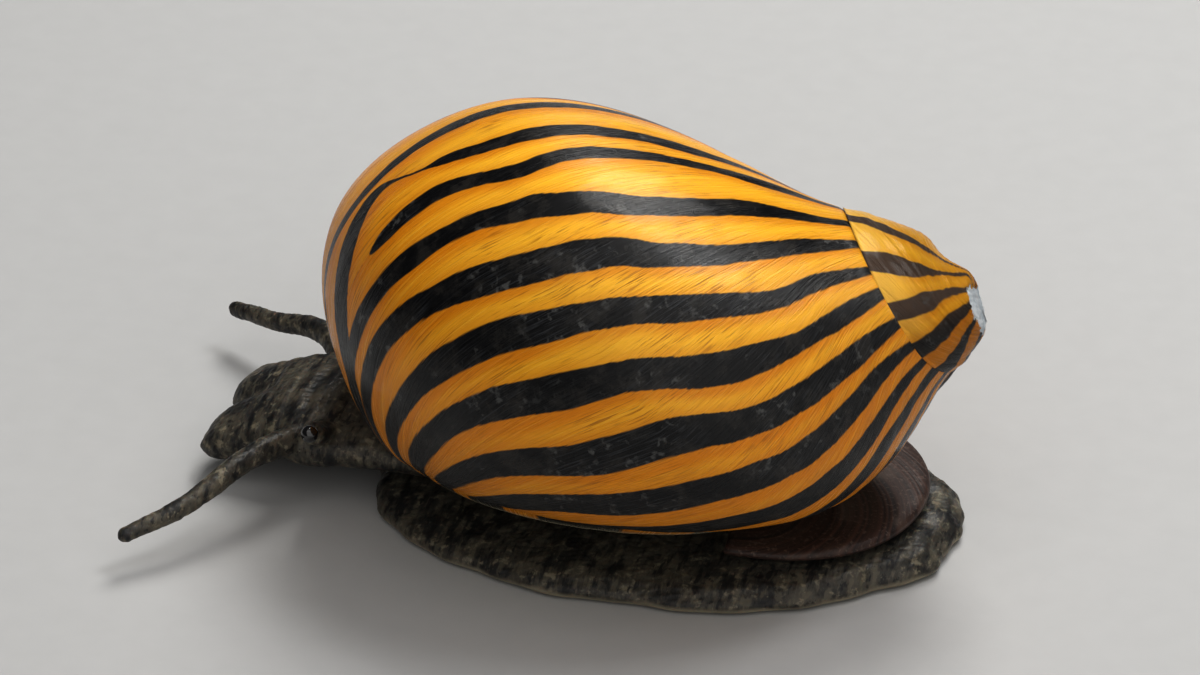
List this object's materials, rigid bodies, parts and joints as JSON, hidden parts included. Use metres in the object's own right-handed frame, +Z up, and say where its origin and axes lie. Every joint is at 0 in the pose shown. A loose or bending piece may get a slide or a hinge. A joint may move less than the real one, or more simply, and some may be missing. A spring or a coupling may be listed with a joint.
{
  "type": "nerite snail",
  "caption": "Life-size still model of a striped nerite snail crawling: rounded coiled shell over a flat oval foot, broad two-lobed snout, slender feelers and stalked eyes.",
  "frame": {"origin": "middle of the flat sole of the foot, on the floor", "axes": "-X towards the head, +X towards the spire, -Y to the animal's left, +Z up"},
  "size_m": [0.0296, 0.0199, 0.0151],
  "materials": {
    "striped_shell": "glossy, amber with black bands",
    "worn_apex": "chalky, worn through to white",
    "mantle_skin": "moist, dark",
    "mottled_skin": "moist, mottled grey",
    "foot_skin": "moist, pale grey",
    "operculum_plate": "satin, dark brown",
    "eye_black": "glossy"
  },
  "bodies": {
    "root": {"shell_body_whorl": "striped_shell", "shell_spire": "striped_shell", "shell_apex": "worn_apex", "mantle": "mantle_skin", "foot": "foot_skin", "operculum": "operculum_plate", "neck": "mottled_skin", "head": "mottled_skin", "snout": "mottled_skin", "tentacle_left_base": "mottled_skin", "tentacle_left_middle": "mottled_skin", "tentacle_left_tip": "mottled_skin", "tentacle_right_base": "mottled_skin", "tentacle_right_middle": "mottled_skin", "tentacle_right_tip": "mottled_skin", "eyestalk_left": "mottled_skin", "eyestalk_right": "mottled_skin", "eye_left": "eye_black", "eye_right": "eye_black"}
  },
  "joints": []
}
